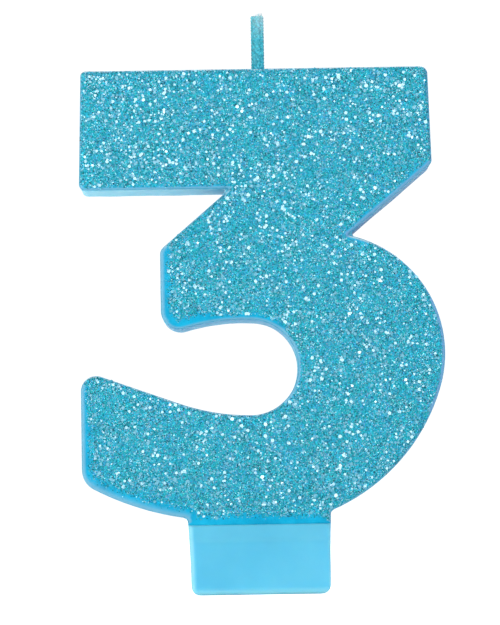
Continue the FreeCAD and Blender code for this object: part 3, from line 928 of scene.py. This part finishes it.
def make_wick(material):
    """A braid of strands wound both ways over a core, from just inside the wax to the cut end."""
    low, high = (np.array(corner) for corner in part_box("wick_tail"))
    centre = (low + high) / 2
    radius = (high[0] - low[0]) / 2 + 0.08 * MM
    foot = low[2] - 1.0 * MM
    top = high[2]
    tubes = Tubes(around=12)

    def lean(z):
        """How far the cord is off its straight line: a hair to the right, and it curves a little backwards
        above the wax."""
        rise = max(z - low[2], 0) / (top - low[2])
        return np.array([0.03 * MM, 0.12 * MM * rise ** 2, 0])

    def strand_ring(way, number, i):
        """One ring of a strand, which weaves over and under the strands that go the other way."""
        z = foot + (top - 0.1 * MM - foot) * i / BRAID_STEPS
        turn = way * 2 * math.pi * (z - foot) / BRAID_LEAD + 2 * math.pi * number / STRANDS
        weave = math.sin(STRANDS * (turn * way + math.pi * (way < 0) / STRANDS))
        reach = radius - STRAND_DEPTH - 0.09 * MM + 0.07 * MM * weave
        out = np.array([math.cos(turn), math.sin(turn), 0])
        slant = math.atan(2 * math.pi * reach / BRAID_LEAD) * way
        side = np.array([-math.sin(turn), math.cos(turn), 0]) * math.cos(slant)
        side = side - np.array([0, 0, 1]) * math.sin(slant)
        middle = np.array([centre[0], centre[1], z]) + out * reach + lean(z)
        ring = []
        for a in tubes.ring_angles():
            lobe = 1 + 0.14 * math.cos(PLIES * (a + way * i * 0.35))
            ring.append(middle + side * math.cos(a) * STRAND_WIDTH * lobe
                        + out * math.sin(a) * STRAND_DEPTH * lobe)
        return ring if way > 0 else ring[::-1]

    def core_ring(z):
        return [np.array([centre[0] + CORE_SHARE * radius * math.cos(a),
                          centre[1] + CORE_SHARE * radius * math.sin(a), z]) + lean(z)
                for a in tubes.ring_angles()]

    for way in (1, -1):
        for number in range(STRANDS):
            tubes.add([strand_ring(way, number, i) for i in range(BRAID_STEPS + 1)])
    tubes.add([
        core_ring(foot + (top - 0.15 * MM - foot) * i / CORE_STEPS)
        for i in range(CORE_STEPS + 1)])

    braid = remeshed(mesh_from("wick_raw", tubes.points, tubes.faces), BRAID_VOXEL)
    piece = link("wick_braid", braid, material)
    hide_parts("wick_tail")
    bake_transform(piece)


# ---------------------------------------------------------------- floor, light and camera

ROOM_LEVEL = 0.47                       # how bright the room is, except behind the camera
ROOM_BEHIND = 0.2                       # and there
ROOM_LEFT = (1.3, 1.3, 1.3, 1)          # the room's light from either side
ROOM_RIGHT = (0.46, 0.40, 0.56, 1)
BACKDROP_LEVEL = 1.05                   # how bright the backdrop and the floor look to the camera
FLOOR_LEVEL = 0.92
FLOOR_CAST = (0.58, 0.06)               # how brightly the floor lights the candle from its left and right

# Name, azimuth and elevation in degrees, distance and size in metres, and radiance. The first eight
# stand in a ring round the camera, so that the flakes tilted a little towards them flash.
LIGHTS = (
    ("softbox_1", 15, 8, 1.0, 0.27, 4.2),
    ("softbox_2", -15, 8, 1.0, 0.27, 4.2),
    ("softbox_3", 8, 21, 1.0, 0.27, 4.2),
    ("softbox_4", -8, 21, 1.0, 0.27, 4.2),
    ("softbox_5", 38, 22, 1.0, 0.35, 3.9),
    ("softbox_6", -38, 22, 1.0, 0.35, 2.6),
    ("softbox_7", 68, 10, 1.0, 0.40, 3.8),
    ("softbox_8", -68, 10, 1.0, 0.40, 0.8),
    ("over", -88, 60, 0.9, 0.80, 2.6),
    ("back", 205, 38, 0.9, 0.40, 3.0),
)

LENS = 182.46                   # mm, for a sensor 36 mm wide
CAMERA_DISTANCE = 495 * MM      # from the front of the glitter
CAMERA_SIDE, CAMERA_HEIGHT = -1.0 * MM, 14 * MM
AIM_SIDE, AIM_HEIGHT = -1.03 * MM, 44.13 * MM
CAMERA_ROLL = -0.915            # degrees


def make_stage():
    """A white floor. It looks bright to the camera, so that the candle's shadow on it is faint, but
    lights the candle only as much as a white table does, and less from its right."""
    span = 3.0
    corners = [(-span, -span, 0), (span, -span, 0), (span, span, 0), (-span, span, 0)]
    mesh = mesh_from("floor", corners, [(0, 1, 2, 3)])
    floor = bpy.data.objects.new("floor", mesh)
    bpy.context.scene.collection.objects.link(floor)
    finish = Finish("white_floor", Base_Color=(0.8, 0.8, 0.8, 1), Roughness=0.9)
    cast = finish.add("Emission", Color=(1, 1, 1, 1))
    level = finish.between(finish.along("X", -0.10, 0.10), *FLOOR_CAST)
    finish.join(level, cast.inputs["Strength"])
    seen = finish.add("Emission", Color=(1, 1, 1, 1), Strength=FLOOR_LEVEL)
    glow = finish.add("MixShader")
    both = finish.add("AddShader")
    finish.join(finish.add("LightPath").outputs["Is Camera Ray"], glow.inputs["Fac"])
    finish.join(cast.outputs["Emission"], glow.inputs[1])
    finish.join(seen.outputs["Emission"], glow.inputs[2])
    finish.join(finish.shader.outputs["BSDF"], both.inputs[0])
    finish.join(glow.outputs["Shader"], both.inputs[1])
    finish.join(both.outputs["Shader"], finish.nodes["Material Output"].inputs["Surface"])
    mesh.materials.append(finish.material)


def make_world():
    """A white backdrop for the camera. What lights the candle is a room that is brighter to its left and
    dark behind the camera."""
    world = bpy.data.worlds.new("studio")
    bpy.context.scene.world = world
    world.use_nodes = True
    nodes, links = world.node_tree.nodes, world.node_tree.links
    seen = nodes["Background"]
    seen.inputs["Color"].default_value = (1, 1, 1, 1)
    seen.inputs["Strength"].default_value = BACKDROP_LEVEL
    room = nodes.new("ShaderNodeBackground")
    place = nodes.new("ShaderNodeTexCoord").outputs["Generated"]
    across = nodes.new("ShaderNodeSeparateXYZ")
    links.new(place, across.inputs["Vector"])
    side = nodes.new("ShaderNodeMapRange")
    for socket, value in {"From Min": -0.7, "From Max": 0.7}.items():
        side.inputs[socket].default_value = value
    links.new(across.outputs["X"], side.inputs["Value"])
    walls = nodes.new("ShaderNodeMix")
    walls.data_type = "RGBA"
    walls.inputs[6].default_value = ROOM_LEFT
    walls.inputs[7].default_value = ROOM_RIGHT
    links.new(side.outputs["Result"], walls.inputs["Factor"])
    links.new(walls.outputs[2], room.inputs["Color"])
    forward = nodes.new("ShaderNodeVectorMath")
    forward.operation = "DOT_PRODUCT"
    forward.inputs[1].default_value = (0, -1, 0)
    links.new(place, forward.inputs[0])
    level = nodes.new("ShaderNodeMapRange")
    level.interpolation_type = "SMOOTHSTEP"
    limits = {"From Min": 0.80, "From Max": 0.985, "To Min": ROOM_LEVEL, "To Max": ROOM_BEHIND}
    for socket, value in limits.items():
        level.inputs[socket].default_value = value
    links.new(forward.outputs["Value"], level.inputs["Value"])
    links.new(level.outputs["Result"], room.inputs["Strength"])
    mix = nodes.new("ShaderNodeMixShader")
    rays = nodes.new("ShaderNodeLightPath")
    links.new(rays.outputs["Is Camera Ray"], mix.inputs["Fac"])
    links.new(room.outputs["Background"], mix.inputs[1])
    links.new(seen.outputs["Background"], mix.inputs[2])
    links.new(mix.outputs["Shader"], nodes["World Output"].inputs["Surface"])


def make_light(name, azimuth, elevation, distance, size, radiance):
    """A square softbox that faces the candle. Azimuth 0 is in front of it and 90 to its left."""
    low, high = CAD_BOX
    target = (low + high) / 2
    a, e = math.radians(azimuth), math.radians(elevation)
    away = Vector((-math.sin(a) * math.cos(e), -math.cos(a) * math.cos(e), math.sin(e)))
    light = bpy.data.lights.new(name, "AREA")
    light.shape = "SQUARE"
    light.size = size
    light.energy = radiance * math.pi * size * size
    lamp = bpy.data.objects.new(name, light)
    lamp.location = target + away * distance
    lamp.rotation_mode = "QUATERNION"
    lamp.rotation_quaternion = away.to_track_quat("Z", "Y")
    lamp.visible_camera = False
    bpy.context.scene.collection.objects.link(lamp)


def make_camera():
    """Just above the level of the tab and looking a little up, and rolled so that the candle leans a
    little in view."""
    front_plane = CAD_BOX[0][1]
    camera = bpy.data.cameras.new("camera")
    camera.lens = LENS
    camera.sensor_width = 36.0
    camera.clip_start, camera.clip_end = 0.01, 20.0
    view = bpy.data.objects.new("camera", camera)
    bpy.context.scene.collection.objects.link(view)
    view.location = Vector((CAMERA_SIDE, front_plane - CAMERA_DISTANCE, CAMERA_HEIGHT))
    aim = Vector((AIM_SIDE, front_plane, AIM_HEIGHT))
    view.rotation_euler = (aim - view.location).to_track_quat("-Z", "Y").to_euler()
    view.rotation_euler.rotate_axis("Z", math.radians(CAMERA_ROLL))
    bpy.context.scene.camera = view


def give_finish(node, material):
    """A finish for one of the model's own nodes."""
    NODES[node].data.materials.clear()
    NODES[node].data.materials.append(material)


bpy.context.scene.view_settings.view_transform = "Standard"
make_stage()
make_world()
for light in LIGHTS:
    make_light(*light)
make_camera()

make_wax(wax_material())
give_finish("colour_coat", coat_material())
give_finish("wick_core", wick_material())
front = Front(make_binder(binder_material()))
make_fine_flakes(front)
make_sparkle_flakes(front)
make_wick(wick_material())
make_fibres(fibre_material())
